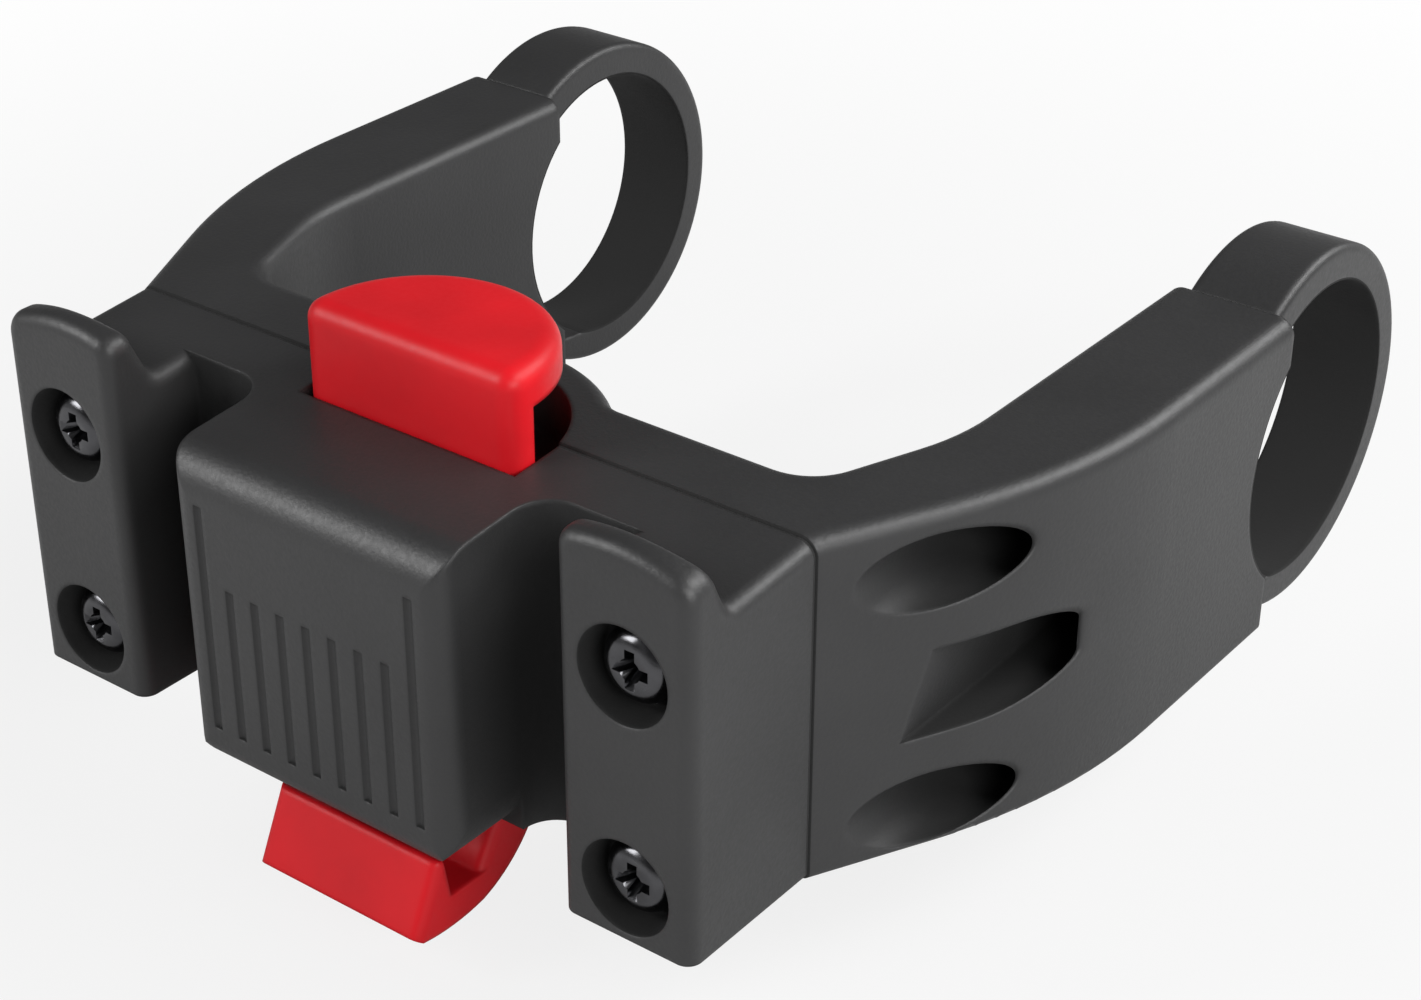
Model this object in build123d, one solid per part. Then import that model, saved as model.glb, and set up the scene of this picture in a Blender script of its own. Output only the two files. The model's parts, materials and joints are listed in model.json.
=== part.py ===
from build123d import *
import os

# Handlebar bag mount.  Millimetres, +Z up.  The origin is on the handlebar axis,
# midway between the two clamps; +X runs along the handlebar and the bag hangs
# on the front plate, towards -Y.

# Main sizes: the bar, the reach from its axis to the rails, and the width
bar_d = 31.8
reach_length = 90.0
plate_depth = 17.0
arm_outer_x = 53.4

# Play left between pieces
body_gap = 0.3
screw_play = 0.2
thread_play = 0.05
seat_play = 0.02

# Front plate: two rails, a catch block between them and a wall behind both
bar_r = bar_d / 2
rail_front_y = -reach_length
seam_y = rail_front_y + plate_depth
rail_inner_x = 26.6
rail_outer_x = 41.0
rail_bottom_z = -17.7
rail_inner_top_z = 20.9
rail_outer_top_z = 20.0
crown_x = rail_inner_x + 5.9
crown_z = 21.8
rail_inner_corner_r = 1.8
rail_outer_corner_r = 2.6
rail_edge_r = 1.5
rail_crest_r = 1.6
lip_depth = 2.8
notch_depth = 5.6
notch_r = 1.2
block_front_y = rail_front_y - 3.0
block_half_w = 16.5
block_top_z = 15.2
plate_top_z = 16.8
block_bottom_z = -18.0
block_nose_r = 4.2
block_toe_r = 3.0
block_edge_r = 2.4
block_foot_r = 5.2
slot_back_y = seam_y - 6.6
slot_corner_r = 3.8

# Heights along the top of the plate, which rises in one plane from block to seam
plate_rise = (plate_top_z - block_top_z) / (seam_y - block_front_y)
lip_back_y = rail_front_y + lip_depth
notch_y = rail_front_y + notch_depth
notch_z = block_top_z + plate_rise * (notch_y - block_front_y)

# Grooves down the front of the catch block, under a bare strip
groove_count = 9
groove_pitch = 3.2
groove_r = 0.6
groove_depth = 0.3
groove_outer_top_z = 10.5
groove_inner_top_z = 2.6
groove_bottom_z = block_bottom_z + 4.4

# Screws that hold the front plate to the yoke
plate_screw_x = 33.8
plate_screw_zs = (9.5, -12.2)
plate_bore_d = 9.6
plate_bore_depth = 4.0
plate_head_d = 7.4
plate_head_h = 3.0
shank_d = 4.0
plate_thread_depth = 8.0
recess_span = 4.2
recess_width = 1.2
recess_depth = 1.6
recess_taper = 12.0

# Yoke: a crossbar behind the plate and two arms that flare out to the clamps
yoke_top_z = 17.0
yoke_bottom_z = -18.5
crossbar_depth = 9.0
crossbar_back_y = seam_y + crossbar_depth
arm_width = 13.9
arm_inner_x = arm_outer_x - arm_width
flare_outer_slope = 0.50
flare_inner_slope = 0.375
flare_inner_width = 8.9
flare_inner_start_x = arm_inner_x - flare_inner_width
flare_outer_r = 62.0
flare_inner_r = 25.0
crotch_r = 5.0
arm_end_y = 5.4 - bar_r
arm_edge_r = 1.8
arm_foot_r = 0.8
seam_edge = 0.2
boss_r = 17.5
boss_mid_y = seam_y - 3.7
boss_root_r = 3.0

# Clamp straps and the screws that pull them in
strap_width = 10.0
strap_mid_x = (arm_outer_x + arm_inner_x) / 2
strap_thick = 3.7
strap_edge_r = 0.9
tongue_zs = (bar_r - 5.0, 1.8 - bar_r)
tongue_h = 6.2
tongue_length = 15.5
tongue_front_y = arm_end_y - tongue_length
tongue_take_up = 1.5
throat_y = -bar_r / 4
throat_thick = 2.8
clamp_channel_d = 7.6
clamp_reach_length = 18.0
clamp_seat_y = tongue_front_y - clamp_reach_length
clamp_head_d = 6.8
clamp_head_h = 3.4
clamp_tip_y = arm_end_y - 3.7
clamp_bore_end_y = clamp_tip_y + 1.0

# Window in the flare of each arm
window_inner_x = arm_inner_x + 5.5
window_inner_lean = 1.3
window_outer_x = arm_outer_x - 1.4
window_top_z = 2.9
window_bottom_z = -6.2
window_length = 37.0
window_end_y = seam_y + window_length
window_r = 3.6

# Release slider: thumb pad on top, stem behind the block, hook underneath
stem_half_w = 10.0
slider_back_y = seam_y - body_gap
stem_front_y = slider_back_y - 5.2
neck_front_y = stem_front_y - body_gap
neck_depth = 2.8
neck_bottom_z = 15.4
pad_r = 12.8
pad_mid_y = neck_front_y + 2.1
pad_bottom_z = 21.8
pad_top_z = 25.7
pad_corner_r = 2.0
pad_edge_r = 1.9
well_gap = 0.7
cup_bottom_z = 13.5
cup_wall = 0.8
slider_travel = 4.5
well_floor_z = neck_bottom_z - slider_travel - body_gap
stop_half_w = 4.0
stop_depth = 2.4
stop_top_z = -7.0
stop_h = 4.0
hook_half_w = 10.4
hook_top_z = -21.6
hook_top_front_y = rail_front_y + 1.4
hook_crest = 0.8
hook_floor_z = -26.0
hook_root_y = stem_front_y - 4.4
hook_root_z = -19.0
hook_lip_y = rail_front_y - 1.9
hook_lip_z = -28.5
hook_chin = 0.9
hook_bottom_z = -29.5
hook_belly_z = hook_bottom_z + 0.4
hook_keel_y = hook_lip_y + 4.9
hook_heel_y = hook_lip_y + 9.3
hook_heel_bulge = (slider_back_y - 4.4, -26.4)
hook_edge_r = 1.1

# Return spring, standing in the boss under the thumb pad
spring_y = seam_y + 4.5
spring_mean_r = 2.4
spring_wire_d = 0.7
spring_turns = 8
spring_bottom_z = -2.0
spring_room = spring_mean_r + spring_wire_d / 2 + 0.35
cup_r = spring_room + cup_wall

# Longer than any piece, for cutters that run right through
far = 200.0


def box(x0, x1, y0, y1, z0, z1):
    """A block between two corners."""
    centre = Pos((x0 + x1) / 2, (y0 + y1) / 2, (z0 + z1) / 2)
    return centre * Box(x1 - x0, y1 - y0, z1 - z0)


def rect(x0, x1, y0, y1):
    """A rectangle between two corners of a flat drawing."""
    return Pos((x0 + x1) / 2, (y0 + y1) / 2) * Rectangle(x1 - x0, y1 - y0)


def rod_y(x, z, d, y0, y1):
    """A round bar along Y."""
    return Pos(x, (y0 + y1) / 2, z) * Rot(90, 0, 0) * Cylinder(d / 2, y1 - y0)


def upright(drawing, z0, z1):
    """A plan drawing raised from one height to another."""
    return Pos(0, 0, z0) * extrude(drawing, z1 - z0)


def across(drawing, half_width):
    """A side drawing (Y, Z) carried to both sides of the middle."""
    return extrude(Plane.YZ * drawing, half_width, both=True)


def through(drawing, y0, y1):
    """A front drawing (X, Z) carried from y0 back to y1."""
    return Pos(0, y1, 0) * extrude(Plane.XZ * drawing, y1 - y0)


def corner(drawing, x, y):
    """The corner of a flat drawing nearest to a point."""
    return drawing.vertices().sort_by_distance((x, y, 0))[0]


def cross_recess(x, z, y_face):
    """The tapered cross recess of a screw head facing -Y."""
    cross = Rectangle(recess_span, recess_width) + Rectangle(recess_width, recess_span)
    return Pos(x, y_face, z) * extrude(Plane.XZ * cross, -recess_depth, taper=recess_taper)


def make_rail():
    """The right-hand rail: crowned front outline, then a lip and a notch along its top."""
    inner_top = (rail_inner_x, rail_inner_top_z)
    outer_top = (rail_outer_x, rail_outer_top_z)
    outline = Polyline(
        inner_top,
        (rail_inner_x, rail_bottom_z),
        (rail_outer_x, rail_bottom_z),
        outer_top,
    )
    outline += ThreePointArc(outer_top, (crown_x, crown_z), inner_top)
    front = make_face(outline)
    front = fillet(corner(front, *inner_top), rail_inner_corner_r)
    front = fillet(corner(front, *outer_top), rail_outer_corner_r)
    rail = through(front, rail_front_y, seam_y)
    front_face = rail.faces().sort_by(Axis.Y)[0]
    rail = fillet(front_face.edges().sort_by(Axis.Z)[1:], rail_edge_r)

    over_y = 2 * lip_back_y - notch_y
    over_z = 2 * crown_z - notch_z
    notch = make_face(
        Polyline(
            (over_y, over_z),
            (notch_y, notch_z),
            (seam_y, plate_top_z),
            (seam_y, over_z),
            close=True,
        )
    )
    notch = fillet(corner(notch, notch_y, notch_z), notch_r)
    rail -= across(notch, far / 2)
    crest = rail.edges().filter_by(
        lambda e: lip_back_y < e.center().Y < seam_y - 0.1 and e.center().Z > notch_z - 1
    )
    crest = crest.filter_by(lambda e: abs(e.tangent_at(0).X) < 0.99 or e.geom_type != GeomType.LINE)
    return fillet(crest, rail_crest_r)


def make_front_plate():
    """Rails, catch block and wall in one moulding."""
    wall_half = rail_inner_x + 1.5 * rail_crest_r
    top = make_face(
        Polyline(
            (block_front_y, block_bottom_z),
            (block_front_y, block_top_z),
            (seam_y, plate_top_z),
            (seam_y, block_bottom_z),
            close=True,
        )
    )
    top = fillet(corner(top, block_front_y, block_top_z), block_nose_r)
    top = fillet(corner(top, block_front_y, block_bottom_z), block_toe_r)
    body = across(top, wall_half)

    block_plan = rect(-block_half_w, block_half_w, block_front_y, slot_back_y)
    front_corners = block_plan.vertices().group_by(Axis.Y)[0]
    block_plan = fillet(front_corners, block_edge_r)
    block_front = rect(-block_half_w, block_half_w, block_bottom_z, far / 4)
    feet = block_front.vertices().group_by(Axis.Y)[0]
    block_front = fillet(feet, block_foot_r)
    block = body & upright(block_plan, block_bottom_z, far / 4)
    block = block & through(block_front, block_front_y - 1, slot_back_y)

    wall_front_y = slot_back_y - slot_corner_r
    wall_plan = rect(-wall_half, wall_half, wall_front_y, seam_y)
    slot_plan = rect(block_half_w, far, wall_front_y - 1, slot_back_y)
    slot_plan = fillet(corner(slot_plan, block_half_w, slot_back_y), slot_corner_r)
    wall_plan -= slot_plan + mirror(slot_plan, Plane.YZ)
    wall = body & upright(wall_plan, rail_bottom_z, far / 4)

    rail = make_rail()
    plate = wall + block + rail + mirror(rail, Plane.YZ)

    for i in range(groove_count):
        x = (i - (groove_count - 1) / 2) * groove_pitch
        outermost = i in (0, groove_count - 1)
        groove_top = groove_outer_top_z if outermost else groove_inner_top_z
        groove_y = block_front_y - groove_r + groove_depth
        plate -= upright(Pos(x, groove_y) * Circle(groove_r), groove_bottom_z, groove_top)

    stem_room = stem_half_w + body_gap
    neck_room = pad_r + body_gap
    plate -= box(-stem_room, stem_room, stem_front_y - body_gap, seam_y + 1, block_bottom_z - 1, far / 4)
    plate -= box(-neck_room, neck_room, neck_front_y - body_gap, seam_y + 1, well_floor_z, far / 4)
    for side in (-1, 1):
        for z in plate_screw_zs:
            x = side * plate_screw_x
            plate -= rod_y(x, z, plate_bore_d, rail_front_y - 1, rail_front_y + plate_bore_depth)
            plate -= rod_y(x, z, shank_d + 2 * screw_play, rail_front_y, seam_y + 1)
    return plate


def pad_drawing(grow):
    """Plan of the thumb pad: straight in front, round behind."""
    r = pad_r + grow
    round_end = Pos(0, pad_mid_y) * Circle(r)
    straight = rect(-r, r, neck_front_y - grow, pad_mid_y)
    outline = (round_end & rect(-r, r, pad_mid_y, pad_mid_y + r)) + straight
    front_corners = outline.vertices().group_by(Axis.Y)[0]
    return fillet(front_corners, pad_corner_r)


def make_yoke():
    """Crossbar, spring boss and both flared arms in one moulding."""
    flare_outer_y = seam_y + (arm_outer_x - rail_outer_x) / flare_outer_slope
    flare_inner_y = seam_y + (arm_inner_x - flare_inner_start_x) / flare_inner_slope
    crotch_x = flare_inner_start_x + flare_inner_slope * (crossbar_back_y - seam_y)
    half = make_face(
        Polyline(
            (0, seam_y),
            (rail_outer_x, seam_y),
            (arm_outer_x, flare_outer_y),
            (arm_outer_x, arm_end_y),
            (arm_inner_x, arm_end_y),
            (arm_inner_x, flare_inner_y),
            (crotch_x, crossbar_back_y),
            (0, crossbar_back_y),
            close=True,
        )
    )
    half = fillet(corner(half, arm_outer_x, flare_outer_y), flare_outer_r)
    half = fillet(corner(half, arm_inner_x, flare_inner_y), flare_inner_r)
    half = fillet(corner(half, crotch_x, crossbar_back_y), crotch_r)
    boss = Pos(0, boss_mid_y) * Circle(boss_r) & rect(-far, far, seam_y, far)
    plan = half + mirror(half, Plane.YZ) + boss
    boss_roots = plan.vertices().filter_by(
        lambda v: abs(v.Y - crossbar_back_y) < 0.01 and 1 < abs(v.X) < boss_r
    )
    plan = fillet(boss_roots, boss_root_r)
    yoke = upright(plan, yoke_bottom_z, yoke_top_z)
    for height, radius in ((yoke_top_z, arm_edge_r), (yoke_bottom_z, arm_foot_r)):
        rims = yoke.edges().filter_by(
            lambda e: abs(e.center().Z - height) < 0.1
            and abs(e.center().Y - seam_y) > 0.1
            and abs(e.center().Y - arm_end_y) > 0.1
        )
        yoke = fillet(rims, radius)
    seam_face = yoke.faces().sort_by(Axis.Y)[0]
    yoke = chamfer(seam_face.outer_wire().edges(), seam_edge)

    yoke -= Rot(0, 90, 0) * Cylinder(bar_r, far)

    yoke -= upright(pad_drawing(well_gap), well_floor_z, far / 4)
    cup_low = cup_bottom_z - slider_travel - body_gap
    yoke -= upright(Pos(0, spring_y) * Circle(cup_r + body_gap), cup_low, far / 4)
    yoke -= upright(Pos(0, spring_y) * Circle(spring_room), spring_bottom_z, far / 4)
    stop_room = stop_half_w + body_gap
    stop_low = stop_top_z - stop_h - slider_travel - body_gap
    stop_back = slider_back_y + stop_depth + body_gap
    yoke -= box(-stop_room, stop_room, seam_y - 1, stop_back, stop_low, stop_top_z + body_gap)

    for side in (-1, 1):
        for z in plate_screw_zs:
            pilot_d = shank_d + 2 * seat_play
            yoke -= rod_y(side * plate_screw_x, z, pilot_d, seam_y - 1, seam_y + plate_thread_depth)
        x = side * strap_mid_x
        half_slot = strap_width / 2 + body_gap
        for z in tongue_zs:
            half_tall = tongue_h / 2 + body_gap
            slot_front = tongue_front_y - tongue_take_up
            yoke -= box(x - half_slot, x + half_slot, slot_front, 0, z - half_tall, z + half_tall)
            yoke -= rod_y(x, z, clamp_channel_d, seam_y, clamp_seat_y)
            yoke -= rod_y(x, z, shank_d + 2 * screw_play, clamp_seat_y - 1, slot_front + 1)
        window = make_face(
            Polyline(
                (side * window_inner_x, window_bottom_z),
                (side * (window_inner_x + window_inner_lean), window_top_z),
                (side * window_outer_x, window_top_z),
                (side * window_outer_x, window_bottom_z),
                close=True,
            )
        )
        window = fillet(corner(window, side * window_outer_x, window_top_z), window_r * 0.6)
        window = fillet(corner(window, side * window_outer_x, window_bottom_z), window_r)
        yoke -= through(window, seam_y, window_end_y)
    return yoke


def make_strap(side):
    """A clamp strap: a ring round the back of the bar and two tongues into the arm."""
    ring_r = bar_r + strap_thick
    shoulder_y = arm_end_y + body_gap
    half_w = strap_width / 2
    strap = across(Circle(ring_r) & rect(shoulder_y, far, -far, far), half_w)
    rims = strap.edges().filter_by(GeomType.CIRCLE)
    strap = fillet(rims, strap_edge_r)
    throat_z = (bar_r**2 - throat_y**2) ** 0.5
    throat_end = shoulder_y - 2.2
    for z in tongue_zs:
        up = 1 if z > 0 else -1
        outer_z = z + up * tongue_h / 2
        low, high = sorted((outer_z, z - up * tongue_h / 2))
        strap += box(-half_w, half_w, tongue_front_y, shoulder_y + 1.0, low, high)
        throat = Polyline(
            (throat_y, up * throat_z),
            (throat_end, outer_z - up * throat_thick),
            (throat_end, 0),
            (throat_y, 0),
            close=True,
        )
        strap -= across(make_face(throat), far / 2)
    strap -= Rot(0, 90, 0) * Cylinder(bar_r, far)
    for z in tongue_zs:
        bore_d = shank_d + 2 * thread_play
        strap -= rod_y(0, z, bore_d, tongue_front_y - 1, clamp_bore_end_y)
    return Pos(side * strap_mid_x, 0, 0) * strap


def make_plate_screw(side, z):
    """Pan-head screw from the front plate into the yoke."""
    x = side * plate_screw_x
    seat_y = rail_front_y + plate_bore_depth
    head = rod_y(x, z, plate_head_d, seat_y - plate_head_h, seat_y)
    crown = head.edges().sort_by(Axis.Y)[0]
    head = fillet(crown, plate_head_h * 0.45)
    screw = head + rod_y(x, z, shank_d, seat_y, seam_y + plate_thread_depth - 0.5)
    return screw - cross_recess(x, z, seat_y - plate_head_h)


def make_clamp_screw(side, z):
    """Cheese-head screw down an arm into a strap tongue."""
    x = side * strap_mid_x
    head = rod_y(x, z, clamp_head_d, clamp_seat_y - clamp_head_h, clamp_seat_y)
    screw = head + rod_y(x, z, shank_d, clamp_seat_y, clamp_tip_y)
    return screw - cross_recess(x, z, clamp_seat_y - clamp_head_h)


def make_slider():
    """Thumb pad, spring cup, stem, stop lug and hook in one moulding."""
    under_pad = pad_bottom_z + 0.5
    stem = box(-stem_half_w, stem_half_w, stem_front_y, slider_back_y, hook_root_z - 1, under_pad)
    neck_back_y = neck_front_y + neck_depth
    neck_plan = pad_drawing(0) & rect(-pad_r, pad_r, neck_front_y, neck_back_y)
    neck = upright(neck_plan, neck_bottom_z, under_pad)
    pad = upright(pad_drawing(0), pad_bottom_z, pad_top_z)
    pad = fillet(pad.edges().group_by(Axis.Z)[-1], pad_edge_r)
    cup = Circle(cup_r) - Circle(spring_room)
    pad += upright(Pos(0, spring_y) * cup, cup_bottom_z, under_pad)
    stop = box(
        -stop_half_w,
        stop_half_w,
        slider_back_y - 1,
        slider_back_y + stop_depth,
        stop_top_z - stop_h,
        stop_top_z,
    )
    chin = (hook_lip_y + hook_chin, hook_belly_z)
    heel = (hook_heel_y, hook_belly_z)
    root = (slider_back_y, hook_root_z)
    outline = Polyline(
        root,
        (stem_front_y, hook_root_z),
        (hook_root_y, hook_floor_z),
        (hook_top_front_y + 2 * hook_crest, hook_floor_z),
        (hook_top_front_y + hook_crest, hook_top_z),
        (hook_top_front_y, hook_top_z),
        (hook_lip_y, hook_lip_z),
        chin,
    )
    outline += ThreePointArc(chin, (hook_keel_y, hook_bottom_z), heel)
    outline += ThreePointArc(heel, hook_heel_bulge, root)
    hook = across(make_face(outline), hook_half_w)
    ramp = hook.faces().filter_by(lambda f: f.normal_at().Y < -0.5 and f.normal_at().Z > 0.1)
    hook = fillet(ramp.edges().filter_by(lambda e: abs(e.tangent_at(0.5).X) < 0.5), hook_edge_r)
    return stem + neck + pad + stop + hook


def make_spring():
    """Compression spring between the boss and the thumb pad."""
    wire_r = spring_wire_d / 2
    height = pad_bottom_z - spring_bottom_z - spring_wire_d - 2 * seat_play
    pitch = height / spring_turns
    path = Helix(pitch, height, spring_mean_r)
    start = Plane(path @ 0, z_dir=path % 0)
    coil = sweep(start * Circle(wire_r), path, is_frenet=True)
    return Pos(0, spring_y, spring_bottom_z + wire_r + seat_play) * coil


plate_screws = [make_plate_screw(side, z) for side in (-1, 1) for z in plate_screw_zs]
clamp_screws = [make_clamp_screw(side, z) for side in (-1, 1) for z in tongue_zs]

nodes = {
    "front_plate": make_front_plate(),
    "arm_yoke": make_yoke(),
    "left_clamp_strap": make_strap(-1),
    "right_clamp_strap": make_strap(1),
    "plate_screws": Compound(children=plate_screws),
    "clamp_screws": Compound(children=clamp_screws),
    "release_slider": make_slider(),
    "return_spring": make_spring(),
}

os.makedirs("parts", exist_ok=True)
for name, shape in nodes.items():
    export_step(shape, "parts/" + name + ".step")
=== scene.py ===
import json
import math

import bpy
from bpy.props import FloatProperty, FloatVectorProperty, IntProperty, PointerProperty
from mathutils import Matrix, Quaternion, Vector


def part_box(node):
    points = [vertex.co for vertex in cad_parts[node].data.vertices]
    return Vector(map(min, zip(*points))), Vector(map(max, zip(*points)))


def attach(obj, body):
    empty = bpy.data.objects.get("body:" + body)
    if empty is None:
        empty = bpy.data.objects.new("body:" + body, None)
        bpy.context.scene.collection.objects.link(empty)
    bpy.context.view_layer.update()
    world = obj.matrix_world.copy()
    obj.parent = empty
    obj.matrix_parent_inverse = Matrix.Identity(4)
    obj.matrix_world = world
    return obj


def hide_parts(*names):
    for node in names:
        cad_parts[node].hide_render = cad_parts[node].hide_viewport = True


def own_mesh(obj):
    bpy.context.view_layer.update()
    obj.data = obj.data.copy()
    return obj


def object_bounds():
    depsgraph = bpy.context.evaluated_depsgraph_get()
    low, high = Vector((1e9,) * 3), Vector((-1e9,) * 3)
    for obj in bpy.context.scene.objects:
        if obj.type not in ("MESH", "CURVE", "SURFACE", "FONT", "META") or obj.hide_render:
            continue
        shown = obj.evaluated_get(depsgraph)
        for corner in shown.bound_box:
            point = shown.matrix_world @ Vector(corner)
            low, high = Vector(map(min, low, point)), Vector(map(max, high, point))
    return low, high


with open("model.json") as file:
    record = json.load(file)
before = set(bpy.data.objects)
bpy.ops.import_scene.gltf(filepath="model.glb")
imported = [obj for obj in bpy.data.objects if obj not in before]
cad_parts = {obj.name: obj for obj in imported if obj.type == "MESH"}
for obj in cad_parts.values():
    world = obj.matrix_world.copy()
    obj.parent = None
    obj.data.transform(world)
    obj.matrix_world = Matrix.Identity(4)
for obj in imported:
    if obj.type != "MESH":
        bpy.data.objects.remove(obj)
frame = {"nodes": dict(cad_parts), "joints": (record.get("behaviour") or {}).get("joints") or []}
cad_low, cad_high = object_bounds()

bl_info = {
    "name": "Handlebar Bag Mount",
    "version": (1, 0, 0),
    "blender": (4, 5, 0),
    "location": "3D View > Sidebar > Bag Mount",
    "description": "Finishes a handlebar bag mount and models its screws and spring",
    "category": "Object",
}

MM = 0.001
BLACK_MOULDINGS = ("front_plate", "arm_yoke", "left_clamp_strap", "right_clamp_strap")
NOISE_MIDDLE = (0.3, 0.7)


def share(name, description, default):
    """A factor from 0 to 1."""
    return FloatProperty(
        name=name, description=description, default=default, min=0, max=1, subtype="FACTOR"
    )


def length(name, description, millimetres):
    """A length, shown in the scene's unit."""
    return FloatProperty(
        name=name,
        description=description,
        default=millimetres * MM,
        min=0,
        precision=5,
        unit="LENGTH",
    )


def colour(name, description, default):
    """A colour, in linear light."""
    return FloatVectorProperty(
        name=name, description=description, default=default, min=0, max=1, subtype="COLOR"
    )


class BlackPlastic(bpy.types.PropertyGroup):
    """Finish of the plate, the yoke and the straps."""

    tint: colour("Colour", "Colour of the moulded plastic", (0.019, 0.019, 0.0195))
    roughness: share("Roughness", "How matt the moulded skin is", 0.46)
    gloss: share("Gloss", "Strength of the surface reflection", 0.5)
    grain: length("Grain", "Distance between the grains of the moulded skin", 0.42)
    relief: length("Relief", "Height of the grain", 0.03)
    edge: length("Edge", "Radius that breaks the sharp edges", 0.7)
    # Inside this radius round the X axis the bores are darkened as painted shade and made rougher
    shaded_bore: length("Bore", "Radius within which the skin is unpolished, to grip the bar", 16.1)
    # Reach of the ambient occlusion that darkens the recesses: painted shade
    recess: length("Recess", "Reach of the walls that leave a recess unpolished", 16.0)
    seam: length("Seam", "Half the width of the dark line between plate and yoke", 0.25)
    # Dark colour and roughness of the painted shade in bores and recesses, also used for the dark
    # seam line
    shade_and_seam_tint: colour("Unpolished colour", "Colour of the unpolished skin", (0.004, 0.004, 0.004))
    dull_roughness: share("Unpolished roughness", "How matt the unpolished skin is", 0.9)


class RedPlastic(bpy.types.PropertyGroup):
    """Finish of the release slider."""

    tint: colour("Colour", "Colour of the moulded plastic", (0.53, 0.007, 0.012))
    roughness: share("Roughness", "How matt the moulded skin is", 0.42)
    gloss: share("Gloss", "Strength of the surface reflection", 0.22)
    grain: length("Grain", "Distance between the grains of the moulded skin", 0.6)
    relief: length("Relief", "Height of the grain", 0.006)
    edge: length("Edge", "Radius that breaks the sharp edges", 0.8)


class PlateScrews(bpy.types.PropertyGroup):
    """Sizes and finish of the pan-head screws in the front plate."""

    head: length("Head", "Diameter of the head", 7.4)
    height: length("Height", "Height of the head", 3.0)
    crown: length("Crown", "Radius round the top of the head", 1.9)
    shank: length("Thread", "Diameter over the thread", 4.0)
    pitch: length("Pitch", "Distance between two turns of the thread", 1.6)
    tint: colour("Colour", "Colour of the dark plating", (0.09, 0.09, 0.095))
    roughness: share("Roughness", "How matt the plating is", 0.22)


class ClampScrews(bpy.types.PropertyGroup):
    """Sizes and finish of the cheese-head screws in the arms."""

    head: length("Head", "Diameter of the head", 6.8)
    height: length("Height", "Height of the head", 3.4)
    crown: length("Crown", "Radius round the top of the head", 0.5)
    shank: length("Thread", "Diameter over the thread", 4.0)
    pitch: length("Pitch", "Distance between two turns of the thread", 1.6)
    tint: colour("Colour", "Colour of the plating", (0.20, 0.20, 0.21))
    roughness: share("Roughness", "How matt the plating is", 0.3)


class Spring(bpy.types.PropertyGroup):
    """Sizes and finish of the return spring under the thumb pad."""

    wire: length("Wire", "Diameter of the wire", 0.7)
    turns: IntProperty(
        name="Turns", description="Open turns between the closed ends", default=6, min=2
    )
    tint: colour("Colour", "Colour of the wire", (0.55, 0.55, 0.55))
    roughness: share("Roughness", "How matt the wire is", 0.3)


class Stage(bpy.types.PropertyGroup):
    """Floor, light and camera."""

    floor_tint: colour("Floor", "Colour of the floor", (0.50, 0.50, 0.50))
    floor_white: share("White floor", "Share of plain white in the floor round the mount", 0.82)
    mirrored_white: share("Mirrored white", "Share of it in reflections close to the mount", 0.03)
    horizon: share("Horizon", "Light of the room at the horizon", 0.8)
    room: share("Room", "Light of the room overhead", 0.14)
    lens: FloatProperty(
        name="Lens", description="Focal length of the camera", default=70.26, unit="CAMERA"
    )


class BagMount(bpy.types.PropertyGroup):
    """All settings of the mount."""

    black: PointerProperty(type=BlackPlastic)
    red: PointerProperty(type=RedPlastic)
    plate_screws: PointerProperty(type=PlateScrews)
    clamp_screws: PointerProperty(type=ClampScrews)
    spring: PointerProperty(type=Spring)
    stage: PointerProperty(type=Stage)


def press_travel():
    """How far down the release slider goes."""
    press = next(joint for joint in frame["joints"] if joint["name"] == "release_press")
    return press["range_m"][1]


def new_material(name):
    """A material with its Principled shader, and what adds nodes and links to it."""
    material = bpy.data.materials.new(name)
    material.use_nodes = True
    tree = material.node_tree
    return material, tree.nodes["Principled BSDF"], tree.nodes, tree.links.new


def noise(nodes, link, size, detail):
    """Noise on the piece's own coordinates, with lumps of the given size."""
    place = nodes.new("ShaderNodeTexCoord")
    texture = nodes.new("ShaderNodeTexNoise")
    texture.inputs["Scale"].default_value = 1 / size
    texture.inputs["Detail"].default_value = detail
    link(place.outputs["Object"], texture.inputs["Vector"])
    return texture.outputs["Fac"]


def ease(nodes, link, source, start_end, low_high, way="SMOOTHSTEP"):
    """A value that goes from one level to another while the source goes from start to end."""
    step = nodes.new("ShaderNodeMapRange")
    step.interpolation_type = way
    step.inputs["From Min"].default_value, step.inputs["From Max"].default_value = start_end
    step.inputs["To Min"].default_value, step.inputs["To Max"].default_value = low_high
    link(source, step.inputs["Value"])
    return step.outputs["Result"]


def spread(nodes, link, source, low, high):
    """A value that runs evenly from low to high over the middle range of a noise."""
    return ease(nodes, link, source, NOISE_MIDDLE, (low, high), "LINEAR")


def combine(nodes, link, operation, first, second):
    """One value from 0 to 1 made of two."""
    both = nodes.new("ShaderNodeMath")
    both.operation = operation
    both.use_clamp = True
    link(first, both.inputs[0])
    link(second, both.inputs[1])
    return both.outputs["Value"]


def varied(nodes, link, source, tint, dark, light):
    """A tint that a noise makes darker and lighter by these factors."""
    mix = nodes.new("ShaderNodeMix")
    mix.data_type = "RGBA"
    mix.inputs["A"].default_value = (*(dark * c for c in tint), 1)
    mix.inputs["B"].default_value = (*(light * c for c in tint), 1)
    link(spread(nodes, link, source, 0, 1), mix.inputs["Factor"])
    return mix.outputs["Result"]


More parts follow.
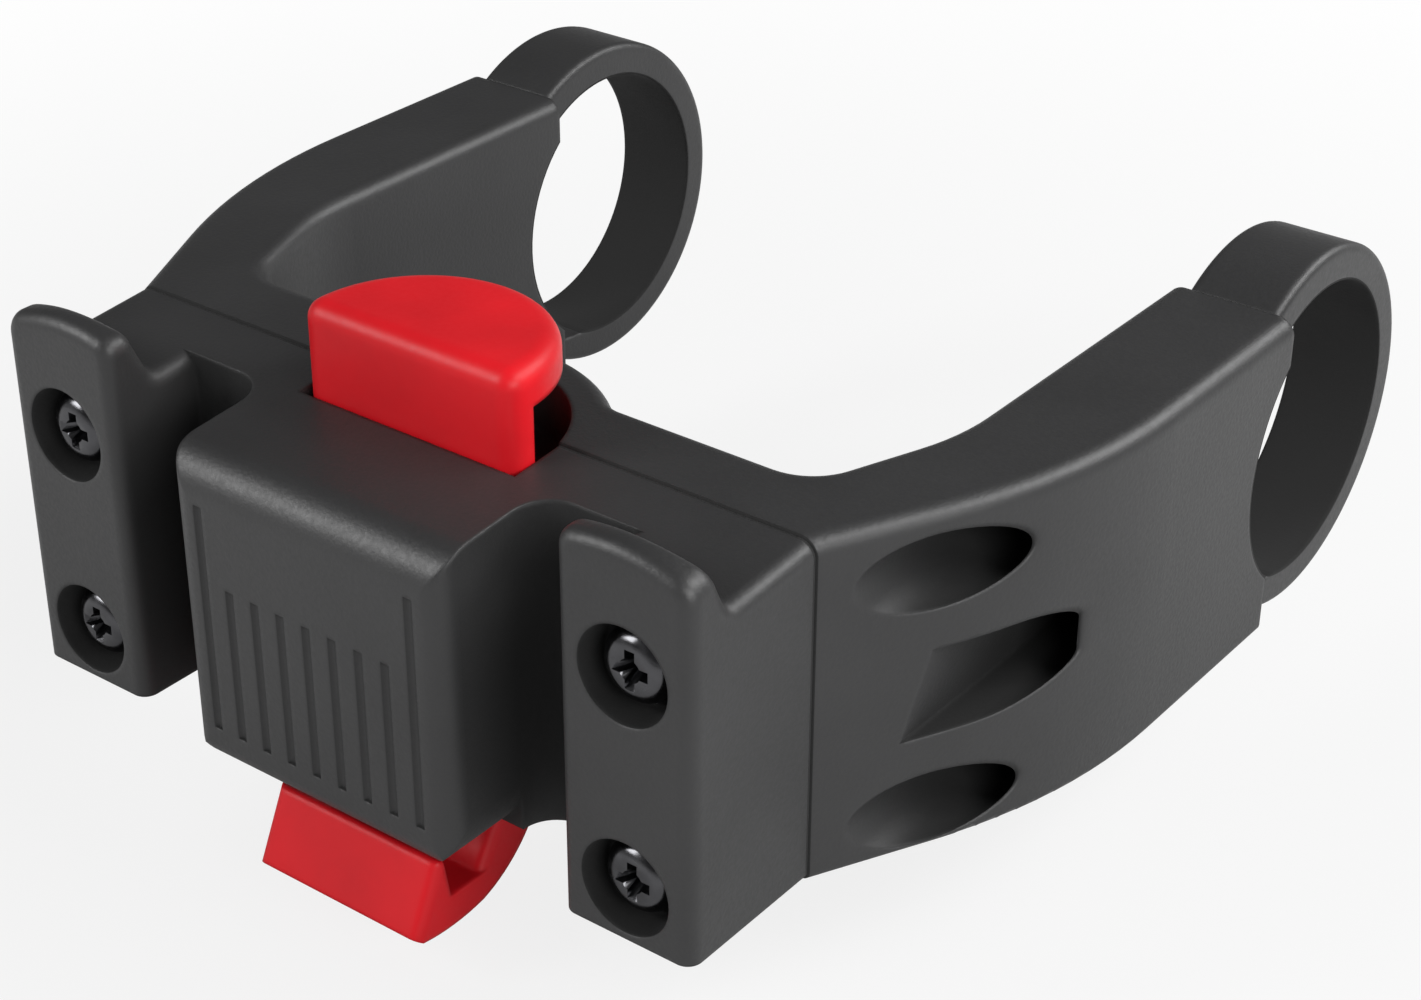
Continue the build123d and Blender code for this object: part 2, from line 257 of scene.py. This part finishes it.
def moulded_plastic(name, finish):
    """Moulded plastic with a fine grained skin, faint flow marks and broken edges."""
    flow_marks = 14 * MM
    roughness_range = 0.04
    material, shader, nodes, link = new_material(name)
    shader.inputs["Specular IOR Level"].default_value = finish.gloss
    flow = noise(nodes, link, flow_marks, detail=4)
    grain = noise(nodes, link, finish.grain, detail=3)

    tint = varied(nodes, link, flow, finish.tint, dark=0.88, light=1.12)
    link(tint, shader.inputs["Base Color"])
    low, high = finish.roughness - roughness_range, finish.roughness + roughness_range
    link(spread(nodes, link, grain, low, high), shader.inputs["Roughness"])

    edge = nodes.new("ShaderNodeBevel")
    edge.samples = 8
    edge.inputs["Radius"].default_value = finish.edge
    skin = nodes.new("ShaderNodeBump")
    skin.inputs["Strength"].default_value = 1
    skin.inputs["Distance"].default_value = finish.relief
    link(grain, skin.inputs["Height"])
    link(edge.outputs["Normal"], skin.inputs["Normal"])
    link(skin.outputs["Normal"], shader.inputs["Normal"])
    return material


def painted_shade_and_seam(material, finish, seam_y):
    """Painted shade, darker and rougher, in the bores round the X axis and in recesses, and a dark
    line along the plate's seam.
    """
    closed_in, open_to_air = 0.5, 0.97
    nodes, link = material.node_tree.nodes, material.node_tree.links.new
    place = nodes.new("ShaderNodeTexCoord")
    across = nodes.new("ShaderNodeVectorMath")
    across.operation = "MULTIPLY"
    across.inputs[1].default_value = (0, 1, 1)
    link(place.outputs["Object"], across.inputs[0])
    from_axis = nodes.new("ShaderNodeVectorMath")
    from_axis.operation = "LENGTH"
    link(across.outputs["Vector"], from_axis.inputs[0])
    # Inside the bores round the X axis: painted shade
    shaded_bore = nodes.new("ShaderNodeMath")
    shaded_bore.operation = "LESS_THAN"
    shaded_bore.inputs[1].default_value = finish.shaded_bore
    link(from_axis.outputs["Value"], shaded_bore.inputs[0])

    parts = nodes.new("ShaderNodeSeparateXYZ")
    link(place.outputs["Object"], parts.inputs["Vector"])
    seam = nodes.new("ShaderNodeMath")
    seam.operation = "COMPARE"
    seam.inputs[1].default_value = seam_y
    seam.inputs[2].default_value = finish.seam
    link(parts.outputs["Y"], seam.inputs[0])

    # Ambient occlusion darkens the recesses: painted shade
    walls = nodes.new("ShaderNodeAmbientOcclusion")
    walls.samples = 6
    walls.only_local = True
    walls.inputs["Distance"].default_value = finish.recess
    recess = ease(nodes, link, walls.outputs["AO"], (closed_in, open_to_air), (1, 0))

    # Painted shade in bores and recesses, and the dark seam line, take the dark colour and the
    # roughness
    shade_and_seam_mask = combine(nodes, link, "MAXIMUM", shaded_bore.outputs["Value"], seam.outputs["Value"])
    shade_and_seam_mask = combine(nodes, link, "MAXIMUM", shade_and_seam_mask, recess)
    shader = nodes["Principled BSDF"]
    changes = (
        ("Base Color", "RGBA", (*finish.shade_and_seam_tint, 1)),
        ("Roughness", "FLOAT", finish.dull_roughness),
    )
    for socket, kind, value in changes:
        mix = nodes.new("ShaderNodeMix")
        mix.data_type = kind
        mix.inputs["B"].default_value = value
        link(shade_and_seam_mask, mix.inputs["Factor"])
        link(shader.inputs[socket].links[0].from_socket, mix.inputs["A"])
        link(mix.outputs["Result"], shader.inputs[socket])


def plated_steel(name, finish):
    """Plated steel, a little cloudy."""
    cloud_size = 1.5 * MM
    roughness_range = 0.06
    material, shader, nodes, link = new_material(name)
    shader.inputs["Metallic"].default_value = 1
    cloud = noise(nodes, link, cloud_size, detail=4)
    tint = varied(nodes, link, cloud, finish.tint, dark=0.8, light=1)
    link(tint, shader.inputs["Base Color"])
    low, high = finish.roughness - roughness_range, finish.roughness + roughness_range
    link(spread(nodes, link, cloud, low, high), shader.inputs["Roughness"])
    return material


def deselect_all():
    """Nothing selected, in object mode."""
    if bpy.context.object and bpy.context.object.mode != "OBJECT":
        bpy.ops.object.mode_set(mode="OBJECT")
    bpy.ops.object.select_all(action="DESELECT")


def only(piece):
    """The one piece that is selected and active."""
    deselect_all()
    piece.select_set(True)
    bpy.context.view_layer.objects.active = piece


def pick_faces(piece, wanted):
    """Edit mode, with the faces selected that pass a test."""
    only(piece)
    bpy.ops.object.mode_set(mode="EDIT")
    bpy.ops.mesh.select_mode(type="FACE")
    bpy.ops.mesh.select_all(action="DESELECT")
    bpy.ops.object.mode_set(mode="OBJECT")
    for face in piece.data.polygons:
        face.select = wanted(face)
    bpy.ops.object.mode_set(mode="EDIT")


def faces_up(face):
    """A face whose normal points along Z."""
    return face.normal.z > 0.9


def faces_down(face):
    """A face whose normal points against Z."""
    return face.normal.z < -0.9


def apply_place(piece):
    """The piece's place, turn and scale moved into its mesh."""
    only(piece)
    bpy.ops.object.transform_apply(location=True, rotation=True, scale=True)


def add_modifier(piece, kind, **settings):
    """A modifier with these settings, applied at once."""
    only(piece)
    modifier = piece.modifiers.new(kind.title(), kind)
    for name, value in settings.items():
        setattr(modifier, name, value)
    bpy.ops.object.modifier_apply(modifier=modifier.name)


def cut(piece, tool, operation="DIFFERENCE"):
    """A piece cut by a tool, or joined with it, and the tool thrown away."""
    add_modifier(piece, "BOOLEAN", object=tool, operation=operation, solver="EXACT")
    bpy.data.objects.remove(tool)


def draw_line(points):
    """A line drawn point by point, from a plane that is merged to one corner."""
    deselect_all()
    bpy.ops.mesh.primitive_plane_add(size=MM)
    bpy.ops.object.mode_set(mode="EDIT")
    bpy.ops.mesh.merge(type="CENTER")
    bpy.ops.transform.translate(value=points[0])
    for here, there in zip(points, points[1:]):
        step = Vector(there) - Vector(here)
        bpy.ops.mesh.extrude_region_move(TRANSFORM_OT_translate={"value": step})
    bpy.ops.object.mode_set(mode="OBJECT")
    return bpy.context.object


def close_ends(piece):
    """Open ends filled, doubles merged and all faces turned outwards."""
    only(piece)
    bpy.ops.object.mode_set(mode="EDIT")
    bpy.ops.mesh.select_all(action="SELECT")
    bpy.ops.mesh.remove_doubles(threshold=0.001 * MM)
    bpy.ops.mesh.fill_holes(sides=0)
    bpy.ops.mesh.select_all(action="SELECT")
    bpy.ops.mesh.normals_make_consistent(inside=False)
    bpy.ops.object.mode_set(mode="OBJECT")


def thread(sizes, bottom, top):
    """A threaded shank along Z with a pointed end at the bottom."""
    inside_cad = 0.02 * MM
    point = 1.4 * MM
    crest = sizes.shank / 2 - inside_cad
    root = 0.74 * crest
    pitch = sizes.pitch
    turns = round((top - bottom - point) / pitch)
    start = top - turns * pitch
    # One turn: a flat root, then up to a narrow crest and down again
    profile = [
        (root, 0, start),
        (root, 0, start + 0.50 * pitch),
        (crest, 0, start + 0.70 * pitch),
        (crest, 0, start + 0.78 * pitch),
        (root, 0, start + pitch),
    ]
    shank = draw_line(profile)
    add_modifier(
        shank,
        "SCREW",
        screw_offset=pitch,
        iterations=turns,
        steps=32,
        render_steps=32,
        use_normal_calculate=True,
    )
    close_ends(shank)
    pick_faces(shank, lambda face: len(face.vertices) > 4)
    bpy.ops.mesh.poke()
    bpy.ops.object.mode_set(mode="OBJECT")
    for corner in shank.data.vertices:
        on_axis = Vector(corner.co[:2]).length < 0.2 * root
        if on_axis and corner.co.z < start + pitch:
            corner.co = (0, 0, bottom)
        elif on_axis:
            corner.co = (0, 0, top)
    return shank


def driver_wedge(top, turn):
    """One arm of a cross driver's tip, narrower towards its end."""
    deselect_all()
    span, width, depth = 4.3 * MM, 1.15 * MM, 2.2 * MM
    middle, tip = top - 0.3 * depth, top - 0.8 * depth
    taper = (0.45, 0.6, 1)
    bpy.ops.mesh.primitive_cube_add(size=1, location=(0, 0, middle), scale=(span, width, depth))
    wedge = bpy.context.object
    apply_place(wedge)
    pick_faces(wedge, faces_down)
    bpy.ops.transform.resize(value=taper, center_override=(0, 0, tip))
    bpy.ops.object.mode_set(mode="OBJECT")
    wedge.rotation_euler.z = turn
    apply_place(wedge)
    return wedge


def driver_cone(top):
    """The round middle of a cross driver's tip."""
    deselect_all()
    depth = 2.0 * MM
    bpy.ops.mesh.primitive_cone_add(
        vertices=24,
        radius1=0.35 * MM,
        radius2=1.25 * MM,
        depth=depth,
        location=(0, 0, top - 0.4 * depth),
    )
    cone = bpy.context.object
    apply_place(cone)
    return cone


def screw(sizes, total):
    """A cross-head screw along Z, seated at the origin with its head upwards."""
    seat_edge, recess_edge = 0.15 * MM, 0.06 * MM
    sharp_angle, smooth_angle = math.radians(40), math.radians(32)
    height = sizes.height
    thread_top = 0.4 * height
    deselect_all()
    bpy.ops.mesh.primitive_cylinder_add(
        vertices=64, radius=sizes.head / 2, depth=height, location=(0, 0, height / 2)
    )
    piece = bpy.context.object
    apply_place(piece)
    pick_faces(piece, faces_up)
    bpy.ops.mesh.region_to_loop()
    bpy.ops.mesh.bevel(offset=sizes.crown, segments=10, affect="EDGES")
    pick_faces(piece, faces_down)
    bpy.ops.mesh.region_to_loop()
    bpy.ops.mesh.bevel(offset=seat_edge, segments=2, affect="EDGES")
    bpy.ops.object.mode_set(mode="OBJECT")
    cut(piece, driver_wedge(height, turn=0))
    cut(piece, driver_wedge(height, turn=math.pi / 2))
    cut(piece, driver_cone(height))
    add_modifier(
        piece,
        "BEVEL",
        width=recess_edge,
        segments=2,
        limit_method="ANGLE",
        angle_limit=sharp_angle,
    )
    cut(piece, thread(sizes, height - total, thread_top), "UNION")
    only(piece)
    bpy.ops.object.shade_smooth_by_angle(angle=smooth_angle)
    return piece


def place_screws(node, sizes, material):
    """Copies of one screw at the four places of a screw node, heads to the front."""
    low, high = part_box(node)
    radius = sizes.head / 2
    pattern = screw(sizes, high.y - low.y)
    pattern.rotation_euler.x = math.pi / 2
    apply_place(pattern)
    pattern.data.materials.append(material)
    seat_y = low.y + sizes.height
    columns = (low.x + radius, high.x - radius)
    rows = (low.z + radius, high.z - radius)
    for number, (x, z) in enumerate([(x, z) for x in columns for z in rows], 1):
        only(pattern)
        bpy.ops.object.duplicate()
        piece = bpy.context.object
        piece.name = f"{node[:-1]}_{number}"
        piece.location = (x, seat_y, z)
        apply_place(piece)
        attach(piece, "frame")
        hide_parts(node)
    bpy.data.objects.remove(pattern)


def coil(sizes, radius, bottom, pitch, turns):
    """Turns of wire round the Z axis."""
    deselect_all()
    bpy.ops.mesh.primitive_circle_add(
        vertices=14,
        radius=sizes.wire / 2,
        location=(radius, 0, bottom),
        rotation=(math.pi / 2, 0, 0),
    )
    turn = bpy.context.object
    apply_place(turn)
    add_modifier(turn, "SCREW", screw_offset=pitch, iterations=turns, steps=40, render_steps=40)
    return turn


class BAGMOUNT_OT_stage(bpy.types.Operator):
    """Lays the floor and sets up the lights and the camera"""

    bl_idname = "bagmount.stage"
    bl_label = "Stage"

    floor_size = 30
    floor_gap = 0.2 * MM
    # Distances from the mount, in metres, over which the floor's white comes or goes
    shadow_fades = (0.08, 0.30)
    mirror_starts = (0.05, 0.14)
    mirror_ends = (0.25, 0.60)
    # Sines of the elevations between which the room dims
    horizon_band = (0.02, 0.10)
    # Softboxes: azimuth from the front towards +X and elevation in degrees,
    # distance, width and height in metres, power in watts
    softboxes = {
        "front_left_softbox": (-40, 29, 1.20, 0.50, 0.50, 9.0),
        "right_softbox": (62, 24, 0.60, 0.40, 0.16, 2.2),
        "high_right_softbox": (108, 46, 0.60, 0.40, 0.20, 2.3),
        "back_right_softbox": (147, 32, 0.60, 0.40, 0.16, 1.8),
    }
    camera_place = Vector((154.33, -236.79, 134.86)) * MM
    camera_aim = Vector((12.66, -50.26, 0.76)) * MM
    camera_roll = math.radians(0.28)
    sensor_width = 36

    def floor(self, settings):
        """A pale floor, plain white from a distance, that keeps the shadow of the mount."""
        deselect_all()
        middle = (cad_low + cad_high) / 2
        below_pressed_hook = cad_low.z - press_travel() - self.floor_gap
        bpy.ops.mesh.primitive_plane_add(
            size=self.floor_size, location=(middle.x, middle.y, below_pressed_hook)
        )
        ground = bpy.context.object
        ground.name = "floor"
        material, shader, nodes, link = new_material("pale_floor")
        shader.inputs["Base Color"].default_value = (*settings.floor_tint, 1)
        shader.inputs["Roughness"].default_value = 0.9
        shader.inputs["Specular IOR Level"].default_value = 0

        place = nodes.new("ShaderNodeTexCoord")
        measure = nodes.new("ShaderNodeVectorMath")
        measure.operation = "LENGTH"
        link(place.outputs["Object"], measure.inputs[0])
        distance = measure.outputs["Value"]
        near, dim = settings.floor_white, settings.mirrored_white
        round_shadow = ease(nodes, link, distance, self.shadow_fades, (near, 1))
        outside_mount = ease(nodes, link, distance, self.mirror_starts, (dim, near))
        inside_room = ease(nodes, link, distance, self.mirror_ends, (1, dim))

        rays = nodes.new("ShaderNodeLightPath").outputs
        mirrored = combine(nodes, link, "ADD", rays["Is Glossy Ray"], rays["Is Transmission Ray"])
        mirrored = combine(nodes, link, "MULTIPLY", mirrored, outside_mount)
        mirrored = combine(nodes, link, "MULTIPLY", mirrored, inside_room)
        seen = combine(nodes, link, "MULTIPLY", rays["Is Camera Ray"], round_shadow)
        seen = combine(nodes, link, "ADD", seen, mirrored)
        white = nodes.new("ShaderNodeEmission")
        mix = nodes.new("ShaderNodeMixShader")
        link(seen, mix.inputs["Fac"])
        link(shader.outputs["BSDF"], mix.inputs[1])
        link(white.outputs["Emission"], mix.inputs[2])
        link(mix.outputs["Shader"], nodes["Material Output"].inputs["Surface"])
        ground.data.materials.append(material)

    def room(self, settings):
        """A room that is white at the horizon and dim overhead."""
        world = bpy.data.worlds.new("room")
        world.use_nodes = True
        nodes, link = world.node_tree.nodes, world.node_tree.links.new
        way = nodes.new("ShaderNodeTexCoord")
        parts = nodes.new("ShaderNodeSeparateXYZ")
        link(way.outputs["Generated"], parts.inputs["Vector"])
        levels = (settings.horizon, settings.room)
        strength = ease(nodes, link, parts.outputs["Z"], self.horizon_band, levels)
        nodes["Background"].inputs["Color"].default_value = (1, 1, 1, 1)
        link(strength, nodes["Background"].inputs["Strength"])
        bpy.context.scene.world = world

    def lights(self):
        """The softboxes, which shine on the middle of the mount and don't show."""
        aim = (cad_low + cad_high) / 2
        for name, numbers in self.softboxes.items():
            azimuth, elevation, distance, width, height, power = numbers
            a, e = math.radians(azimuth), math.radians(elevation)
            way = Vector((math.sin(a) * math.cos(e), -math.cos(a) * math.cos(e), math.sin(e)))
            bpy.ops.object.light_add(type="AREA", location=aim + way * distance)
            lamp = bpy.context.object
            lamp.name = name
            lamp.rotation_mode = "QUATERNION"
            lamp.rotation_quaternion = (-way).to_track_quat("-Z", "Y")
            lamp.data.shape = "RECTANGLE"
            lamp.data.size = width
            lamp.data.size_y = height
            lamp.data.energy = power
            lamp.visible_camera = False

    def camera(self, settings):
        """The camera, at the photograph's place."""
        bpy.ops.object.camera_add(location=self.camera_place)
        camera = bpy.context.object
        camera.name = "photo_camera"
        camera.rotation_mode = "QUATERNION"
        look = (self.camera_aim - self.camera_place).to_track_quat("-Z", "Y")
        camera.rotation_quaternion = look @ Quaternion((0, 0, 1), self.camera_roll)
        camera.data.sensor_width = self.sensor_width
        camera.data.lens = settings.lens
        camera.data.clip_start = 0.01
        camera.data.clip_end = 100
        bpy.context.scene.camera = camera

    def execute(self, context):
        settings = context.scene.bag_mount.stage
        context.scene.view_settings.view_transform = "Standard"
        self.floor(settings)
        self.room(settings)
        self.lights()
        self.camera(settings)
        return {"FINISHED"}


class BAGMOUNT_OT_black_mouldings(bpy.types.Operator):
    """Gives the front plate, the yoke and the straps their grained black plastic"""

    bl_idname = "bagmount.black_mouldings"
    bl_label = "Black Mouldings"

    def execute(self, context):
        finish = context.scene.bag_mount.black
        seam_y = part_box("front_plate")[1].y
        material = moulded_plastic("black_plastic", finish)
        # Painted shade in bores and recesses, and a dark line along the seam
        painted_shade_and_seam(material, finish, seam_y)
        for node in BLACK_MOULDINGS:
            frame["nodes"][node].material_slots[0].material = material
        return {"FINISHED"}


class BAGMOUNT_OT_release_slider(bpy.types.Operator):
    """Gives the release slider its red plastic"""

    bl_idname = "bagmount.release_slider"
    bl_label = "Release Slider"

    def execute(self, context):
        material = moulded_plastic("red_plastic", context.scene.bag_mount.red)
        frame["nodes"]["release_slider"].material_slots[0].material = material
        return {"FINISHED"}


class BAGMOUNT_OT_plate_screws(bpy.types.Operator):
    """Models the four pan-head screws of the front plate"""

    bl_idname = "bagmount.plate_screws"
    bl_label = "Plate Screws"

    def execute(self, context):
        settings = context.scene.bag_mount.plate_screws
        place_screws("plate_screws", settings, plated_steel("dark_plated_steel", settings))
        return {"FINISHED"}


class BAGMOUNT_OT_clamp_screws(bpy.types.Operator):
    """Models the four cheese-head screws that pull the straps in"""

    bl_idname = "bagmount.clamp_screws"
    bl_label = "Clamp Screws"

    def execute(self, context):
        settings = context.scene.bag_mount.clamp_screws
        place_screws("clamp_screws", settings, plated_steel("plated_steel", settings))
        return {"FINISHED"}


class BAGMOUNT_OT_return_spring(bpy.types.Operator):
    """Models the return spring with closed ends"""

    bl_idname = "bagmount.return_spring"
    bl_label = "Return Spring"

    def execute(self, context):
        settings = context.scene.bag_mount.spring
        low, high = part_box("return_spring")
        radius = (high.x - low.x - settings.wire) / 2
        bottom = low.z + settings.wire / 2
        top = high.z - settings.wire / 2
        # The closed end turns lie a little more than one wire apart
        closed = 1.03 * settings.wire
        pitch = (top - bottom - 2 * closed) / settings.turns
        spring = coil(settings, radius, bottom, closed, 1)
        middle = coil(settings, radius, bottom + closed, pitch, settings.turns)
        end = coil(settings, radius, top - closed, closed, 1)
        only(spring)
        middle.select_set(True)
        end.select_set(True)
        bpy.ops.object.join()
        spring.name = "wound_spring"
        close_ends(spring)
        spring.location = ((low.x + high.x) / 2, (low.y + high.y) / 2, 0)
        apply_place(spring)
        bpy.ops.object.shade_smooth_by_angle(angle=math.radians(40))
        spring.data.materials.append(plated_steel("spring_wire", settings))
        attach(spring, "frame")
        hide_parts("return_spring")
        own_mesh(spring)
        return {"FINISHED"}


class BAGMOUNT_PT_panel(bpy.types.Panel):
    """The mount's settings and the operators that use them"""

    bl_label = "Bag Mount"
    bl_idname = "BAGMOUNT_PT_panel"
    bl_space_type = "VIEW_3D"
    bl_region_type = "UI"
    bl_category = "Bag Mount"

    def draw(self, context):
        settings = context.scene.bag_mount
        for group, operator in PANEL_ROWS:
            box = self.layout.box()
            values = getattr(settings, group)
            for name in values.__annotations__:
                box.prop(values, name)
            box.operator(operator)


PANEL_ROWS = (
    ("stage", "bagmount.stage"),
    ("black", "bagmount.black_mouldings"),
    ("red", "bagmount.release_slider"),
    ("plate_screws", "bagmount.plate_screws"),
    ("clamp_screws", "bagmount.clamp_screws"),
    ("spring", "bagmount.return_spring"),
)

CLASSES = (
    BlackPlastic,
    RedPlastic,
    PlateScrews,
    ClampScrews,
    Spring,
    Stage,
    BagMount,
    BAGMOUNT_OT_stage,
    BAGMOUNT_OT_black_mouldings,
    BAGMOUNT_OT_release_slider,
    BAGMOUNT_OT_plate_screws,
    BAGMOUNT_OT_clamp_screws,
    BAGMOUNT_OT_return_spring,
    BAGMOUNT_PT_panel,
)


def register():
    for cls in CLASSES:
        bpy.utils.register_class(cls)
    bpy.types.Scene.bag_mount = PointerProperty(type=BagMount)


def unregister():
    del bpy.types.Scene.bag_mount
    for cls in reversed(CLASSES):
        bpy.utils.unregister_class(cls)


def main():
    register()
    bpy.ops.bagmount.stage()
    bpy.ops.bagmount.black_mouldings()
    bpy.ops.bagmount.release_slider()
    bpy.ops.bagmount.plate_screws()
    bpy.ops.bagmount.clamp_screws()
    bpy.ops.bagmount.return_spring()


if __name__ == "__main__":
    main()
